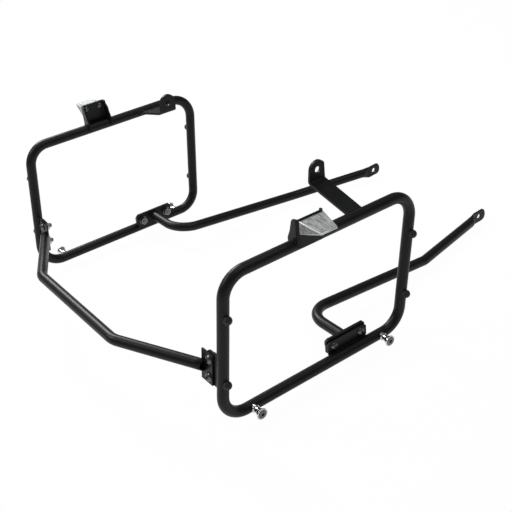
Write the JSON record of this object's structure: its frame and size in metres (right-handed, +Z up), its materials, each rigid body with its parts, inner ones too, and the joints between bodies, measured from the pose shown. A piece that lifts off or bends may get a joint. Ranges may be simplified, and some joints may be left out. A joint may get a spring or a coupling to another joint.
{
  "type": "pannier frame",
  "caption": "Motorbike pannier frame: tube hoops for side cases, tied by a bent rear crossbar and braced by struts to the bike's frame.",
  "frame": {"origin": "under the middle of the frame's box, at the level of its lowest point", "axes": "+X to the rider's right, +Y forward along the rails, +Z up"},
  "size_m": [0.7282, 0.8193, 0.3179],
  "materials": {
    "black_coat": "satin black powder coat",
    "brushed_aluminium": "brushed, with bright machined edges",
    "chrome": "polished",
    "zinc": "bright zinc plate",
    "black_steel": "black oxide, lightly polished",
    "rubber": "moulded, satin"
  },
  "bodies": {
    "root": {"hoop_right": "black_coat", "hoop_left": "black_coat", "rear_lug_right": "black_coat", "rear_lug_left": "black_coat", "foot_lug_right": "black_coat", "foot_lug_left": "black_coat", "strap_bracket_right": "black_coat", "strap_bracket_left": "black_coat", "hook_bracket_right": "black_coat", "hook_bracket_left": "black_coat", "hook_wedge_right": "brushed_aluminium", "hook_wedge_left": "brushed_aluminium", "hook_screws_right": "black_steel", "hook_screws_left": "black_steel", "rear_crossbar": "black_coat", "crossbar_plate_right": "black_coat", "crossbar_plate_left": "black_coat", "crossbar_bolts_right": "black_steel", "crossbar_bolts_left": "black_steel", "crossbar_nuts_right": "zinc", "crossbar_nuts_left": "zinc", "strut_right": "black_coat", "strut_left": "black_coat", "strut_plate_right": "black_coat", "strut_plate_left": "black_coat", "strut_bolts_right": "black_steel", "strut_bolts_left": "black_steel", "strut_nuts_right": "zinc", "strut_nuts_left": "zinc", "spool_rear_right": "chrome", "spool_front_right": "chrome", "spool_rear_left": "chrome", "spool_front_left": "chrome", "spool_screw_rear_right": "black_steel", "spool_screw_front_right": "black_steel", "spool_screw_rear_left": "black_steel", "spool_screw_front_left": "black_steel", "button_rear_low_right": "rubber", "button_rear_high_right": "rubber", "button_front_low_right": "rubber", "button_front_high_right": "rubber", "button_rear_low_left": "rubber", "button_rear_high_left": "rubber", "button_front_low_left": "rubber", "button_front_high_left": "rubber"}
  },
  "joints": []
}
